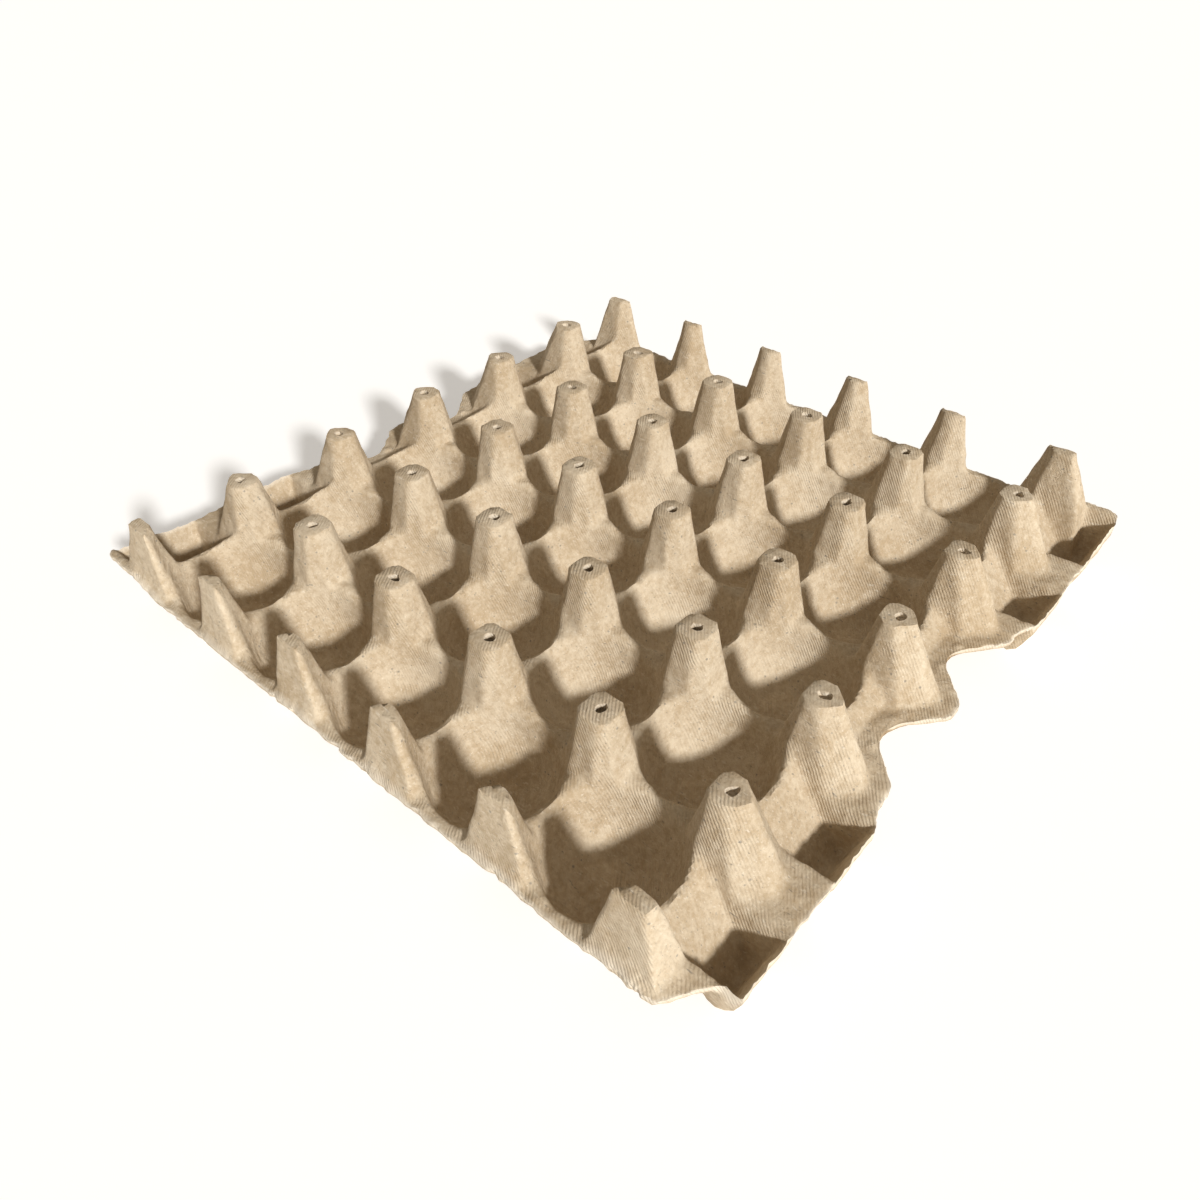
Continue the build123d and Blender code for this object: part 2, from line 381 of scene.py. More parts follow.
@dataclass(frozen=True)
class EndEdge:
    """Edge of the +X flange, from the cut corner to the full one."""

    sizes: TraySizes = TraySizes()
    steps: int = 9
    run_in: float = 20.0
    sharp: float = 0.1
    rim_round: float = 3.5
    cut_round: float = 1.6
    flange_round: float = 1.5
    lobe_step: float = 6.0
    lobe_round: float = 3.0
    mouth_round: float = 3.6
    bite_round: float = 3.4
    full_round: float = 6.0
    level_share: float = 0.6

    def corners(self) -> Array:
        """Corners of the edge and the length that each one's rounding takes from its sides."""
        s = self.sizes
        lobe = s.node_x + s.lobe
        cut = s.cut_back - s.side
        pocket_end = 2 * s.pitch_y - s.node_y - s.post
        points = [
            (s.node_x + s.cut_on_rim - self.run_in, -s.side, self.sharp),
            (s.node_x + s.cut_on_rim, -s.side, self.rim_round),
            (s.node_x + s.cut_on_flange, cut, self.cut_round),
            (s.end, cut, self.flange_round),
            (s.end, pocket_end, self.lobe_round),
            (lobe, pocket_end + self.lobe_step, self.lobe_round),
        ]
        for middle in (-s.pitch_y / 2, s.pitch_y / 2):
            for side in (-1, 1):
                mouth = (lobe, middle + side * s.bite_mouth / 2, self.mouth_round)
                bottom = (s.node_x + s.bite, middle + side * s.bite_bottom / 2, self.bite_round)
                points.extend([mouth, bottom] if side < 0 else [bottom, mouth])
        points.append((lobe, -pocket_end - self.lobe_step, self.lobe_round))
        points.append((s.end, -pocket_end, self.lobe_round))
        points.append((s.end, s.side, self.full_round))
        points.append((s.end - self.run_in, s.side, self.sharp))
        return np.array(points)

    def line(self) -> Array:
        """The edge as a dense line.

        Each corner becomes a quadratic curve: (1-t)^2 A + 2t(1-t) P + t^2 B, where P is the
        corner and A and B lie on its two sides, at the length that its rounding takes.

        Returns:
            Points along the edge, from the cut corner to the full one.
        """
        table = self.corners()
        points, take = table[:, :2], table[:, 2:3]
        back = np.roll(points, 1, axis=0) - points
        ahead = np.roll(points, -1, axis=0) - points
        back /= np.linalg.norm(back, axis=1, keepdims=True)
        ahead /= np.linalg.norm(ahead, axis=1, keepdims=True)
        first, last = points + take * back, points + take * ahead
        t = np.linspace(0.0, 1.0, self.steps)[None, :, None]
        curve = (1 - t) ** 2 * first[:, None] + 2 * t * (1 - t) * points[:, None] + t**2 * last[:, None]
        return curve[1:-1].reshape(-1, 2)

    def at_rows(self, rows: Array) -> Array:
        """Where each row of the grid meets the edge.

        Rows are spread along the edge by |dy| plus a share of |dx|, and those through a post stay level.

        Args:
            rows: Nominal place of each row along Y.

        Returns:
            One point of the edge for each row.
        """
        s = self.sizes
        line = self.line()
        step = np.abs(np.diff(line, axis=0))
        travel = np.concatenate([[0.0], np.cumsum(step[:, 1] + self.level_share * step[:, 0])])
        level = np.concatenate([[-s.side], (np.arange(1, s.rows) - s.rows / 2) * s.pitch_y, [s.side]])
        at_level = np.interp(level, line[:, 1], travel)
        at_level[0], at_level[-1] = 0.0, travel[-1]
        along = np.interp(rows, level, at_level)
        return np.stack([np.interp(along, travel, line[:, 0]), np.interp(along, travel, line[:, 1])], axis=1)


@dataclass
class PulpGrid:
    """Grid of quads over the plan, drawn together where the face is steep."""

    sizes: TraySizes
    form: TrayForm
    per_cell: int = 44
    at_end: int = 28
    at_side: int = 4
    x: Array = field(default_factory=lambda: np.zeros(0))
    y: Array = field(default_factory=lambda: np.zeros(0))

    def lines(self) -> tuple[Array, Array]:
        """Nominal place of every column and every row: even steps between the lines of posts."""
        s = self.sizes
        end = np.linspace(s.node_x, s.end, self.at_end + 1)[1:]
        side = np.linspace(s.node_y - s.pitch_y, s.side, self.per_cell + self.at_side + 1)[1:]
        middle_x = np.linspace(-s.node_x, s.node_x, s.columns * self.per_cell + 1)
        inner_y = s.node_y - s.pitch_y
        middle_y = np.linspace(-inner_y, inner_y, (s.rows - 2) * self.per_cell + 1)
        columns = np.concatenate([-end[::-1], middle_x, end])
        rows = np.concatenate([-side[::-1], middle_y, side])
        return columns, rows

    def spread(self) -> None:
        """Lay the grid out and bend its outer columns on to the edges of the flanges."""
        s = self.sizes
        columns, rows = self.lines()
        x, y = np.meshgrid(columns, rows)
        right = EndEdge(s).at_rows(rows)
        left = -EndEdge(s).at_rows(-rows)
        start = s.node_x + s.vent
        pull_right = np.clip((x - start) / (s.end - start), 0.0, 1.0)
        pull_left = np.clip((-x - start) / (s.end - start), 0.0, 1.0)
        x = np.where(pull_right > 0, start + pull_right * (right[:, :1] - start), x)
        x = np.where(pull_left > 0, -start + pull_left * (left[:, :1] + start), x)
        self.y = y + pull_right * (right[:, 1:] - y) + pull_left * (left[:, 1:] - y)
        self.x = x

    def vent_indices(self, half: int) -> tuple[Array, Array, Array, Array]:
        """Row and column of each vent's middle, and the offsets of the ring that stands round it.

        Args:
            half: Half the width of the square of quads that a vent takes out.

        Returns:
            Rows and columns of the middles, then row and column offsets of the ring in turn.
        """
        s = self.sizes
        step = self.per_cell
        rows = np.arange(1, s.rows) * step + self.at_side
        columns = np.arange(s.columns + 1) * step + self.at_end
        row, column = [axis.ravel() for axis in np.meshgrid(rows, columns, indexing="ij")]
        side = np.arange(-half, half)
        flat = np.full(2 * half, half)
        row_ring = np.concatenate([side, flat, -side, -flat])
        column_ring = np.concatenate([flat, -side, -flat, side])
        return row, column, row_ring, column_ring

    def open_vents(self, half: int, seed: int) -> Array:
        """Move the ring of vertices round each vent on to a ragged circle.

        The radius is half the vent times 1 plus a random share; turn runs with the ring.

        Args:
            half: Half the width of the square that a vent takes out.
            seed: Seed of the raggedness.

        Returns:
            True at every vertex of a ring or inside one.
        """
        s = self.sizes
        row, column, row_ring, column_ring = self.vent_indices(half)
        count = 8 * half
        turn = (np.arange(count) - half) * (2 * np.pi / count)
        dice = np.random.default_rng(seed)
        waves = np.arange(2, 6)
        depth = dice.normal(size=(row.size, 4, 1)) * 0.09 / np.sqrt(waves[:, None] - 1)
        phase = dice.uniform(0, 2 * np.pi, size=(row.size, 4, 1))
        share = 1 + (depth * np.sin(waves[:, None] * turn + phase)).sum(axis=1)
        stretch = dice.uniform(0.88, 1.16, size=(row.size, 1))
        middle_x = self.x[row, column][:, None]
        middle_y = self.y[row, column][:, None]
        rings = (row[:, None] + row_ring, column[:, None] + column_ring)
        self.x[rings] = middle_x + s.vent / 2 * share * stretch * np.cos(turn)
        self.y[rings] = middle_y + s.vent / 2 * share / stretch * np.sin(turn)
        held = np.zeros(self.x.shape, dtype=bool)
        block = np.arange(-half, half + 1)
        held[row[:, None, None] + block[:, None], column[:, None, None] + block] = True
        return held

    def gather(self, side: Side, held: Array, rounds: int) -> None:
        """Draw the grid together where the face is steep.

        Each free vertex moves towards the mean of its four neighbours, each weighed by the
        length of the edge on the face over its length on the plan.

        Args:
            side: Face whose slope counts.
            held: Vertices that stay.
            rounds: How many times to move them.
        """
        free = ~held
        free[[0, -1], :] = False
        free[:, [0, -1]] = False
        free = free[1:-1, 1:-1]
        for _ in range(rounds):
            z = self.form.height(self.x, self.y, side.value)
            weights = []
            for axis in (1, 0):
                plan = np.diff(self.x, axis=axis) ** 2 + np.diff(self.y, axis=axis) ** 2
                rise = np.diff(z, axis=axis) ** 2
                weights.append(np.sqrt((plan + rise + 0.01) / (plan + 0.01)))
            east, north = weights[0][1:-1, 1:], weights[1][1:, 1:-1]
            west, south = weights[0][1:-1, :-1], weights[1][:-1, 1:-1]
            total = east + west + north + south
            for axis_values in (self.x, self.y):
                mean = east * axis_values[1:-1, 2:] + west * axis_values[1:-1, :-2]
                mean = mean + north * axis_values[2:, 1:-1] + south * axis_values[:-2, 1:-1]
                moved = axis_values[1:-1, 1:-1] + 0.7 * (mean / total - axis_values[1:-1, 1:-1])
                axis_values[1:-1, 1:-1] = np.where(free, moved, axis_values[1:-1, 1:-1])

    def settle_tops(self, ring: int, beyond: float) -> Array:
        """Move one ring of vertices round each vent on to the crease at the post's top.

        The crease's distance along each direction is the last trial radius still on the flat top.

        Args:
            ring: Which ring, counted in quads from the post's middle.
            beyond: Distance past the crease, negative for inside it.

        Returns:
            True at every vertex of a ring or inside one.
        """
        row, column, row_ring, column_ring = self.vent_indices(ring)
        middle_x = self.x[row, column][:, None]
        middle_y = self.y[row, column][:, None]
        rings = (row[:, None] + row_ring, column[:, None] + column_ring)
        turn = np.arctan2(self.y[rings] - middle_y, self.x[rings] - middle_x)
        trials = np.linspace(self.sizes.vent / 2, self.sizes.post, 120)[:, None, None]
        heights = self.form.height(middle_x + trials * np.cos(turn), middle_y + trials * np.sin(turn), 0.0)
        flat = heights > self.sizes.height - 0.01
        reach = np.where(flat, trials, 0.0).max(axis=0) + beyond
        self.x[rings] = middle_x + reach * np.cos(turn)
        self.y[rings] = middle_y + reach * np.sin(turn)
        held = np.zeros(self.x.shape, dtype=bool)
        block = np.arange(-ring, ring + 1)
        held[row[:, None, None] + block[:, None], column[:, None, None] + block] = True
        return held

    def settle_side_tops(self, held: Array, rounds: int = 12) -> Array:
        """Move the first vertices past the flat top of each side post back on to its crease.

        The crease is found by halving the stretch between a vertex and its neighbour on the top.

        Args:
            held: Vertices that stay.
            rounds: How many times to halve the stretch.

        Returns:
            True at every vertex on a side post's top or moved on to its crease.
        """
        s = self.sizes
        level = s.height - 0.01
        near = (np.abs(self.y) > s.node_y - s.post) & ~held
        top = (self.form.height(self.x, self.y, 0.0) > level) & near
        kept = top.copy()
        for axis, step in ((0, 1), (0, -1), (1, 1), (1, -1)):
            chosen = near & ~top & np.roll(top, step, axis=axis)
            start_x = np.roll(self.x, step, axis=axis)[chosen]
            start_y = np.roll(self.y, step, axis=axis)[chosen]
            way_x, way_y = self.x[chosen] - start_x, self.y[chosen] - start_y
            low, high = np.zeros(start_x.size), np.ones(start_x.size)
            for _ in range(rounds):
                middle = (low + high) / 2
                flat = self.form.height(start_x + middle * way_x, start_y + middle * way_y, 0.0) > level
                low, high = np.where(flat, middle, low), np.where(flat, high, middle)
            self.x[chosen] = start_x + high * way_x
            self.y[chosen] = start_y + high * way_y
            kept |= chosen
        return kept

    def halved(self) -> "PulpGrid":
        """Grid with every second row and column of this one."""
        half = PulpGrid(self.sizes, self.form, self.per_cell // 2, self.at_end // 2, self.at_side // 2)
        half.x, half.y = self.x[::2, ::2].copy(), self.y[::2, ::2].copy()
        return half

    def loop(self) -> tuple[Array, Array]:
        """Rows and columns of the outer vertices, anticlockwise from the first corner."""
        rows, columns = self.x.shape[0] - 1, self.x.shape[1] - 1
        along, up = np.arange(columns), np.arange(rows)
        row = np.concatenate([0 * along, up, 0 * along + rows, rows - up])
        column = np.concatenate([along, 0 * up + columns, columns - along, 0 * up])
        return row, column

    def quads(self, half: int, first: int, facing_up: bool) -> Array:
        """Corner indices of every quad that no vent takes out.

        Args:
            half: Half the width of the square that a vent takes out.
            first: Index of the grid's first vertex in the mesh.
            facing_up: True if the faces look up.

        Returns:
            Four indices for each quad.
        """
        rows, columns = self.x.shape
        number = np.arange(rows * columns).reshape(rows, columns) + first
        corners = [number[:-1, :-1], number[:-1, 1:], number[1:, 1:], number[1:, :-1]]
        kept = np.ones((rows - 1, columns - 1), dtype=bool)
        row, column, _, _ = self.vent_indices(half)
        block = np.arange(-half, half)
        kept[row[:, None, None] + block[:, None], column[:, None, None] + block] = False
        quads = np.stack(corners if facing_up else corners[::-1], axis=-1)
        return quads[kept]


@dataclass
class PulpTray:
    """The tray as one closed mesh: two gathered grids, the torn edge and the vents' walls."""

    sizes: TraySizes = TraySizes()
    gather_rounds: int = 140
    regather_rounds: int = 25
    gather_rounds_below: int = 60
    top_bevel_in: float = 0.35
    top_bevel_out: float = 0.12
    crease_shares: tuple[float, ...] = (0.45, 0.15)
    last_shares: tuple[float, ...] = (0.3,)
    spike_limit: float = 0.35
    spike_rounds: int = 6
    rough_edge: float = 0.45
    waviness: float = 0.30
    grain: float = 0.10
    seed: int = 11

    def small_marks(self, x: Array, y: Array) -> Array:
        """Ribs at the foot of the buttresses, rib ends in the valleys and dimples on the side posts.

        Each mark is a bell: its height times exp(-(distance / width)^4) or ^2.  A rib's distance
        is measured from the line along its middle.

        Args:
            x: Distance along the columns.
            y: Distance along the rows.

        Returns:
            Height to add to the upper face.
        """
        s = self.sizes
        turn = np.where(x < 0, -1.0, 1.0)
        u, v = np.abs(x), turn * y
        row = np.clip(np.round(v / s.pitch_y), 1 - s.rows // 2, s.rows // 2 - 1)
        from_middle = np.abs(u - s.node_x - (s.rib_start + s.rib_end) / 2)
        past_end = np.maximum(from_middle - (s.rib_end - s.rib_start) / 2, 0.0)
        from_rib = np.hypot(past_end, v - row * s.pitch_y)
        corner_nib = np.hypot(u - s.node_x - s.corner_nib_reach, v + s.node_y - s.corner_nib_setback)
        marks = s.rib_height * np.exp(-((np.minimum(from_rib, corner_nib) / s.rib_width) ** 4))
        middle = (np.floor(v / s.pitch_y) + 0.5) * s.pitch_y
        from_stub = np.hypot(u - s.node_x - s.bite, np.abs(v - middle) - s.bite_bottom)
        stub_height = np.where(np.abs(v) < s.pitch_y, s.stub_height, 0.0)
        marks += stub_height * np.exp(-((from_stub / s.rib_width) ** 4))
        column = np.round(x / s.pitch_x + s.columns / 2) - s.columns / 2
        from_dimple = np.hypot(x - column * s.pitch_x, np.abs(y) - s.face_top + s.edge_post / 2)
        return marks - s.dimple_depth * np.exp(-((from_dimple / s.dimple_width) ** 2))

    def positions(self, grid: PulpGrid, side: Side) -> Array:
        """Vertices of one face, as an array of rows, columns and coordinates."""
        z = grid.form.height(grid.x, grid.y, side.value)
        if side is Side.UPPER:
            z = z + self.small_marks(grid.x, grid.y)
        return np.stack([grid.x, grid.y, z], axis=-1)

    @staticmethod
    def soften(points: Array, held: Array, shares: tuple[float, ...]) -> None:
        """Round the creases: each free inner vertex moves a share of the way to its neighbours' mean."""
        free = ~held[1:-1, 1:-1, None]
        for share in shares:
            mean = points[1:-1, 2:] + points[1:-1, :-2] + points[2:, 1:-1] + points[:-2, 1:-1]
            points[1:-1, 1:-1] += share * free * (mean / 4 - points[1:-1, 1:-1])

    @staticmethod
    def calm(points: Array, held: Array, limit: float, rounds: int) -> None:
        """Draw in single vertices that stand out: past the limit, the more the further they stand.

        Args:
            points: Vertices of one face.
            held: Vertices that stay.
            limit: Distance from the neighbours' mean that is left alone, in millimetres.
            rounds: How many times to go over the face.
        """
        free = ~held[1:-1, 1:-1, None]
        for _ in range(rounds):
            mean = points[1:-1, 2:] + points[1:-1, :-2] + points[2:, 1:-1] + points[:-2, 1:-1]
            away = mean / 4 - points[1:-1, 1:-1]
            distance = np.linalg.norm(away, axis=-1, keepdims=True)
            points[1:-1, 1:-1] += free * away * np.clip((distance - limit) / (distance + limit), 0.0, 0.8)

    def waver(self, points: Array) -> Array:
        """Slow waves and small lumps of pressed pulp, as a displacement in three directions."""
        slow = [Ripple(self.seed + axis, 34.0).at(points) for axis in range(3)]
        fine = [Ripple(self.seed + 10 + axis, 6.0).at(points) for axis in range(3)]
        return self.waviness * np.stack(slow, axis=-1) / 2 + self.grain * np.stack(fine, axis=-1)

    def build(self) -> bpy.types.Object:
        """Work out both faces and the walls between them, and join them into one mesh.

        Returns:
            The tray's object.
        """
        form = TrayForm(self.sizes)
        upper = PulpGrid(self.sizes, form)
        upper.spread()
        held = upper.open_vents(2, self.seed)
        upper.gather(Side.UPPER, held, self.gather_rounds)
        upper.settle_tops(3, -self.top_bevel_in)
        topped = upper.settle_tops(4, self.top_bevel_out)
        upper.gather(Side.UPPER, topped, self.regather_rounds)
        side_tops = upper.settle_side_tops(topped)
        lower = upper.halved()
        held_below = np.zeros(lower.x.shape, dtype=bool)
        row, column = lower.vent_indices(1)[:2]
        block = np.arange(-1, 2)
        held_below[row[:, None, None] + block[:, None], column[:, None, None] + block] = True
        lower.gather(Side.LOWER, held_below, self.gather_rounds_below)
        top = self.positions(upper, Side.UPPER)
        bottom = self.positions(lower, Side.LOWER)
        self.soften(top, topped | side_tops, self.crease_shares)
        self.soften(top, topped, self.last_shares)
        self.calm(top, topped | side_tops, self.spike_limit, self.spike_rounds)
        self.soften(bottom, held_below, self.last_shares)
        return self.joined(upper, lower, top, bottom)

    def edge_ring(self, top: Array, bottom: Array, outward: Array, seed: int) -> Array:
        """Vertices half way down a torn edge, pushed in and out by noise.

        Args:
            top: Upper vertices of the edge, in turn.
            bottom: Lower vertices of the edge, one for every second upper one.
            outward: Level direction out of the material at each upper vertex.
            seed: Seed of the noise.

        Returns:
            One vertex for each upper one.
        """
        nearest = np.repeat(bottom, 2, axis=0)
        low = (nearest + np.roll(nearest, -1, axis=0)) / 2
        low[::2] = bottom
        middle = 0.55 * top + 0.45 * low
        middle[:, :2] += outward * (0.25 * Ripple(seed, 2.2).at(top) - 0.05)[:, None]
        return middle

    def joined(self, upper: PulpGrid, lower: PulpGrid, top: Array, bottom: Array) -> bpy.types.Object:
        """Put the two faces and their walls into one mesh.

        Args:
            upper: Grid of the upper face.
            lower: Grid of the lower face, with half as many rows and columns.
            top: Vertices of the upper face.
            bottom: Vertices of the lower face.

        Returns:
            The tray's object.
        """
        row, column = upper.loop()
        edge = top[row, column]
        ahead = np.roll(edge, -1, axis=0) - np.roll(edge, 1, axis=0)
        outward = np.stack([ahead[:, 1], -ahead[:, 0]], axis=1)
        outward /= np.linalg.norm(outward, axis=1, keepdims=True)
        coarse, fine = Ripple(self.seed + 30, 7.0).at(edge), Ripple(self.seed + 31, 2.6).at(edge)
        torn = np.abs(coarse) + 0.6 * np.abs(fine)
        inset = self.rough_edge * torn * 0.6
        depth = np.zeros(top.shape[:2])
        depth[row, column] = 1.0
        top[row, column, :2] -= outward * inset[:, None]
        top[row, column, 2] -= 0.25 * np.abs(Ripple(self.seed + 32, 3.0).at(edge))
        low_row, low_column = lower.loop()
        bottom[low_row, low_column, :2] = top[row[::2], column[::2], :2]

        vent_row, vent_column, row_ring, column_ring = upper.vent_indices(2)
        rings = (vent_row[:, None] + row_ring, vent_column[:, None] + column_ring)
        depth[rings] = 0.12
        low_vent_row, low_vent_column, low_row_ring, low_column_ring = lower.vent_indices(1)
        low_rings = (low_vent_row[:, None] + low_row_ring, low_vent_column[:, None] + low_column_ring)

        top += self.waver(top)
        bottom += self.waver(bottom)

        count = top.shape[0] * top.shape[1]
        low_count = bottom.shape[0] * bottom.shape[1]
        number = np.arange(count).reshape(top.shape[:2])
        low_number = np.arange(low_count).reshape(bottom.shape[:2]) + count
        vertices = [top.reshape(-1, 3), bottom.reshape(-1, 3)]
        marks = [depth.ravel(), np.zeros(low_count)]
        first = count + low_count
        quads = [upper.quads(2, 0, True), lower.quads(1, count, False)]
        triangles = []

        walls = [(number[row, column], low_number[low_row, low_column], 1)]
        walls += [(number[r, c], low_number[i, j], -1) for r, c, i, j in zip(*rings, *low_rings)]
        for wall_index, (above, under, way) in enumerate(walls):
            high = top.reshape(-1, 3)[above]
            deep = bottom.reshape(-1, 3)[under - count]
            tangent = np.roll(high, -1, axis=0) - np.roll(high, 1, axis=0)
            out = way * np.stack([tangent[:, 1], -tangent[:, 0]], axis=1)
            out /= np.linalg.norm(out, axis=1, keepdims=True)
            middle = self.edge_ring(high, deep, out, self.seed + 40 + wall_index)
            between = np.arange(len(above)) + first
            first += len(above)
            vertices.append(middle)
            marks.append(np.ones(len(above)))
            after, between_after = np.roll(above, -1), np.roll(between, -1)
            under_after = np.roll(under, -1)
            band = np.stack([above, between, between_after, after], axis=1)
            even, odd, even_next = between[::2], between[1::2], np.roll(between[::2], -1)
            foot = np.concatenate([
                np.stack([even, under, odd], axis=1),
                np.stack([odd, under, under_after], axis=1),
                np.stack([odd, under_after, even_next], axis=1),
            ])
            quads.append(band if way > 0 else band[:, ::-1])
            triangles.append(foot if way > 0 else foot[:, ::-1])
        parts = [np.concatenate(rows) for rows in (vertices, quads, triangles, marks)]
        return self.to_object(*parts)

    @staticmethod
    def to_object(vertices: Array, quads: Array, triangles: Array, torn: Array) -> bpy.types.Object:
        """Fill a mesh and hand back its object.

        Args:
            vertices: Positions in millimetres.
            quads: Four indices for each quad.
            triangles: Three indices for each triangle.
            torn: One at a torn edge, nought elsewhere, for each vertex.

        Returns:
            The object, linked to the scene.
        """
        used = np.unique(np.concatenate([quads.ravel(), triangles.ravel()]))
        place = np.zeros(len(vertices), dtype=np.int64)
        place[used] = np.arange(used.size)
        corners = place[np.concatenate([quads.ravel(), triangles.ravel()])]
        points = vertices[used] * MILLIMETRE
        low, high = (np.array(list(corner)) for corner in cad_box)
        points = np.clip(points, low + 1.0e-5, high - 1.0e-5)
        mesh = bpy.data.meshes.new("pulp_tray")
        mesh.vertices.add(len(points))
        mesh.vertices.foreach_set("co", points.astype(np.float32).ravel())
        mesh.loops.add(corners.size)
        mesh.loops.foreach_set("vertex_index", corners.astype(np.int32))
        mesh.polygons.add(len(quads) + len(triangles))
        starts = np.concatenate([4 * np.arange(len(quads)), 4 * len(quads) + 3 * np.arange(len(triangles))])
        mesh.polygons.foreach_set("loop_start", starts.astype(np.int32))
        mesh.update(calc_edges=True)
        mesh.validate()
        mesh.polygons.foreach_set("use_smooth", np.ones(len(mesh.polygons), dtype=bool))
        mesh.set_sharp_from_angle(angle=CREASE)
        attribute = mesh.attributes.new("torn", "FLOAT", "POINT")
        attribute.data.foreach_set("value", torn[used].astype(np.float32))
        tray = bpy.data.objects.new("pulp_tray", mesh)
        bpy.context.scene.collection.objects.link(tray)
        return tray


@dataclass(frozen=True)
class NodeSheet:
    """A material's node tree, with short ways to add and join nodes."""

    tree: bpy.types.NodeTree

    def add(self, kind: str, **settings: object) -> bpy.types.Node:
        """Add a node of a kind and set its properties.

        Args:
            kind: Type name of the node.
            **settings: Properties, or values for sockets whose names have underscores for spaces.

        Returns:
            The new node.
        """
        node = self.tree.nodes.new(kind)
        for name, value in settings.items():
            if hasattr(node, name):
                setattr(node, name, value)
            else:
                node.inputs[name.replace("_", " ")].default_value = value
        return node

    def join(self, source: Socket, target: Socket) -> None:
        """Link one socket to another."""
        self.tree.links.new(source, target)

    def noise(self, where: Socket, scale: float, detail: float, roughness: float = 0.6) -> Socket:
        """Noise value over a position."""
        node = self.add("ShaderNodeTexNoise", Scale=scale, Detail=detail, Roughness=roughness)
        self.join(where, node.inputs["Vector"])
        return node.outputs["Fac"]

    def ramp(
        self, value: Socket, low: float, high: float, to_low: float = 0.0, to_high: float = 1.0
    ) -> Socket:
        """Map a value smoothly from one range to another."""
        node = self.add("ShaderNodeMapRange", interpolation_type="SMOOTHSTEP")
        for name, number in (("From Min", low), ("From Max", high), ("To Min", to_low), ("To Max", to_high)):
            node.inputs[name].default_value = number
        self.join(value, node.inputs["Value"])
        return node.outputs["Result"]

    def maths(self, operation: str, first: Socket, second: Socket | float) -> Socket:
        """Result of a sum on two values."""
        node = self.add("ShaderNodeMath", operation=operation)
        self.join(first, node.inputs[0])
        if isinstance(second, (int, float)):
            node.inputs[1].default_value = second
        else:
            self.join(second, node.inputs[1])
        return node.outputs["Value"]

    def blend(self, amount: Socket, first: object, second: object, mode: str = "MIX") -> Socket:
        """Blend of two colours, each a socket or four numbers."""
        node = self.add("ShaderNodeMix", data_type="RGBA", blend_type=mode)
        self.join(amount, node.inputs["Factor"])
        for socket, colour in ((node.inputs["A"], first), (node.inputs["B"], second)):
            target = [s for s in node.inputs if s.name == socket.name and s.type == "RGBA"][0]
            if isinstance(colour, tuple):
                target.default_value = colour
            else:
                self.join(colour, target)
        return [s for s in node.outputs if s.type == "RGBA"][0]


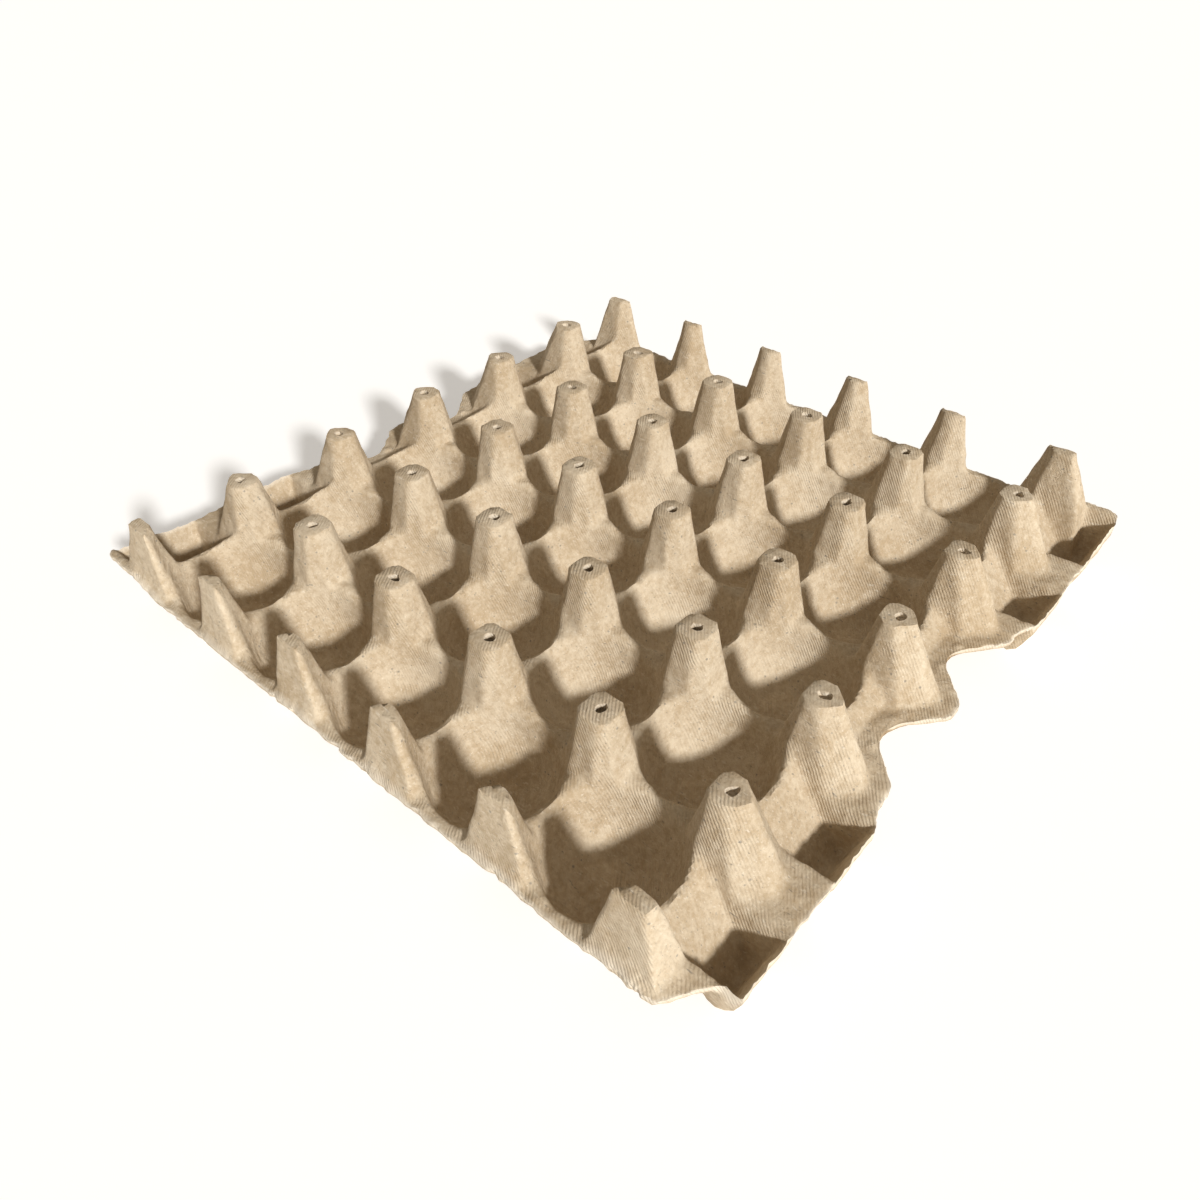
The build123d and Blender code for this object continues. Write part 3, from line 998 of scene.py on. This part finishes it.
@dataclass(frozen=True)
class PulpFinish:
    """Recycled paper pulp: matt, fibrous, flecked, with fine ridges from the forming screen."""

    pale: tuple[float, float, float, float] = (0.685, 0.580, 0.435, 1.0)
    deep: tuple[float, float, float, float] = (0.490, 0.378, 0.248, 1.0)
    fleck: tuple[float, float, float, float] = (0.170, 0.160, 0.150, 1.0)
    lint: tuple[float, float, float, float] = (0.800, 0.720, 0.600, 1.0)
    ridge_pitch: float = 0.00095

    def make(self) -> bpy.types.Material:
        """Build the material.

        Returns:
            The finished material.
        """
        material = bpy.data.materials.new("moulded_pulp")
        material.use_nodes = True
        sheet = NodeSheet(material.node_tree)
        shader = material.node_tree.nodes["Principled BSDF"]
        where = sheet.add("ShaderNodeTexCoord").outputs["Object"]
        colour = self.colour(sheet, where)
        sheet.join(colour, shader.inputs["Base Color"])
        shader.inputs["Roughness"].default_value = 0.95
        shader.inputs["Specular IOR Level"].default_value = 0.06
        sheet.join(self.relief(sheet, where), shader.inputs["Normal"])
        return material

    def colour(self, sheet: NodeSheet, where: Socket) -> Socket:
        """Cloudy beige with pale lint, grey fibres and dark flecks, paler on torn edges."""
        cloud = sheet.noise(where, 34.0, 4.0)
        mottle = sheet.noise(where, 420.0, 5.0, 0.72)
        both = sheet.maths("ADD", sheet.maths("MULTIPLY", cloud, 0.45), sheet.maths("MULTIPLY", mottle, 0.55))
        base = sheet.blend(sheet.ramp(both, 0.36, 0.64), self.deep, self.pale)
        turned = sheet.add("ShaderNodeMapping", Rotation=(0.5, 0.9, 0.4), Scale=(1.0, 4.2, 4.2))
        sheet.join(where, turned.inputs["Vector"])
        strands = sheet.noise(turned.outputs["Vector"], 330.0, 3.0, 0.5)
        base = sheet.blend(sheet.ramp(strands, 0.60, 0.72, 0.0, 0.55), base, self.lint)
        crossed = sheet.add("ShaderNodeMapping", Rotation=(1.3, 0.2, 1.9), Scale=(1.0, 5.0, 5.0))
        sheet.join(where, crossed.inputs["Vector"])
        threads = sheet.noise(crossed.outputs["Vector"], 260.0, 2.0, 0.5)
        base = sheet.blend(sheet.ramp(threads, 0.66, 0.76, 0.0, 0.6), base, self.fleck)
        specks = sheet.add("ShaderNodeTexVoronoi", Scale=420.0, Randomness=1.0)
        sheet.join(where, specks.inputs["Vector"])
        chosen = sheet.ramp(sheet.noise(where, 210.0, 2.0), 0.56, 0.62)
        dots = sheet.maths("MULTIPLY", sheet.ramp(specks.outputs["Distance"], 0.26, 0.12), chosen)
        base = sheet.blend(sheet.maths("MULTIPLY", dots, 0.55), base, self.fleck)
        torn = sheet.add("ShaderNodeAttribute", attribute_name="torn").outputs["Fac"]
        return sheet.blend(sheet.maths("MULTIPLY", torn, 0.7), base, self.lint)

    def relief(self, sheet: NodeSheet, where: Socket) -> Socket:
        """Screen ridges, fibres and lumps as one chain of bumps."""
        turned = sheet.add("ShaderNodeVectorMath", operation="DOT_PRODUCT")
        turned.inputs[1].default_value = Vector((0.75, 0.5, 0.45)).normalized()
        sheet.join(where, turned.inputs[0])
        wobble = sheet.maths("MULTIPLY", sheet.noise(where, 60.0, 2.0), 0.0016)
        along = sheet.maths("ADD", turned.outputs["Value"], wobble)
        line = sheet.maths("SINE", sheet.maths("MULTIPLY", along, 2 * math.pi / self.ridge_pitch), 0.0)
        patches = sheet.ramp(sheet.noise(where, 45.0, 3.0), 0.38, 0.62, 0.15, 1.0)
        ridges = sheet.maths("MULTIPLY", line, patches)
        bumps = (
            (ridges, 0.00009, 0.8),
            (sheet.noise(where, 190.0, 3.0, 0.6), 0.00060, 0.7),
            (sheet.noise(where, 900.0, 6.0, 0.75), 0.00045, 0.9),
        )
        normal = None
        for height, distance, strength in bumps:
            bump = sheet.add("ShaderNodeBump", Distance=distance, Strength=strength)
            sheet.join(height, bump.inputs["Height"])
            if normal is not None:
                sheet.join(normal, bump.inputs["Normal"])
            normal = bump.outputs["Normal"]
        return normal


@dataclass(frozen=True)
class SunLamp:
    """A distant lamp: where it stands, how wide it looks and how strong it is."""

    name: str
    azimuth: float
    elevation: float
    width: float
    strength: float
    tint: tuple[float, float, float]

    def hang(self) -> None:
        """Hang the lamp: azimuth anticlockwise from +X, elevation from the floor, in degrees."""
        turn, lift = math.radians(self.azimuth), math.radians(self.elevation)
        way = Vector((math.cos(turn) * math.cos(lift), math.sin(turn) * math.cos(lift), math.sin(lift)))
        light = bpy.data.lights.new(self.name, "SUN")
        light.angle = math.radians(self.width)
        light.energy = self.strength
        light.color = self.tint
        lamp = bpy.data.objects.new(self.name, light)
        lamp.location = way
        lamp.rotation_euler = way.to_track_quat("Z", "Y").to_euler()
        bpy.context.scene.collection.objects.link(lamp)


@dataclass(frozen=True)
class Studio:
    """Plain pale floor, soft lamps, pale surroundings and the camera."""

    floor_half: float = 6.0
    floor_colour: tuple[float, float, float, float] = (0.92, 0.92, 0.92, 1.0)
    floor_glow: float = 0.30
    floor_gap: float = 0.0002
    surround: tuple[float, float, float, float] = (1.0, 0.88, 0.72, 1.0)
    surround_strength: float = 0.28
    eye: tuple[float, float, float] = (0.20108, -0.24273, 0.25355)
    heading: float = 41.42
    tilt: float = 40.02
    roll: float = -0.40
    lens: float = 28.655

    def lay_floor(self) -> None:
        """Lay the floor just under the tray."""
        mesh = bpy.data.meshes.new("studio_floor")
        half = self.floor_half
        plan = ((-half, -half), (half, -half), (half, half), (-half, half))
        corners = [(x, y, -self.floor_gap) for x, y in plan]
        mesh.from_pydata(corners, [], [(0, 1, 2, 3)])
        floor = bpy.data.objects.new("studio_floor", mesh)
        bpy.context.scene.collection.objects.link(floor)
        material = bpy.data.materials.new("studio_floor")
        material.use_nodes = True
        shader = material.node_tree.nodes["Principled BSDF"]
        shader.inputs["Base Color"].default_value = self.floor_colour
        shader.inputs["Roughness"].default_value = 0.9
        shader.inputs["Specular IOR Level"].default_value = 0.2
        shader.inputs["Emission Color"].default_value = (1.0, 1.0, 1.0, 1.0)
        shader.inputs["Emission Strength"].default_value = self.floor_glow
        mesh.materials.append(material)

    def light(self) -> None:
        """Hang the lamps and set the surroundings."""
        lamps = (
            SunLamp("key", -21.0, 27.0, 6.0, 3.7, (1.0, 0.99, 0.97)),
            SunLamp("fill", 20.0, 20.0, 60.0, 0.15, (1.0, 0.90, 0.76)),
        )
        for lamp in lamps:
            lamp.hang()
        world = bpy.data.worlds.new("surroundings")
        world.use_nodes = True
        background = world.node_tree.nodes["Background"]
        background.inputs["Color"].default_value = self.surround
        background.inputs["Strength"].default_value = self.surround_strength
        bpy.context.scene.world = world
        bpy.context.scene.view_settings.view_transform = "Standard"

    def place_camera(self) -> None:
        """Place the camera: heading anticlockwise from +Y, tilt down from level, then roll."""
        data = bpy.data.cameras.new("camera")
        data.lens = self.lens
        data.sensor_width = 36.0
        data.clip_start = 0.01
        camera = bpy.data.objects.new("camera", data)
        camera.location = self.eye
        turned = Euler((math.radians(90.0 - self.tilt), 0.0, math.radians(self.heading))).to_matrix()
        rolled = Euler((0.0, 0.0, math.radians(self.roll))).to_matrix()
        camera.rotation_euler = (turned @ rolled).to_euler()
        bpy.context.scene.collection.objects.link(camera)
        bpy.context.scene.camera = camera


def main() -> None:
    """Build the tray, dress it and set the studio."""
    studio = Studio()
    studio.place_camera()
    tray = PulpTray().build()
    tray.data.materials.append(PulpFinish().make())
    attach(tray, "root")
    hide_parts("egg_tray")
    log.info("tray: %d vertices, %d faces", len(tray.data.vertices), len(tray.data.polygons))
    studio.lay_floor()
    studio.light()
    bpy.context.view_layer.update()


if __name__ == "__main__":
    logging.basicConfig(level=logging.INFO)
    main()
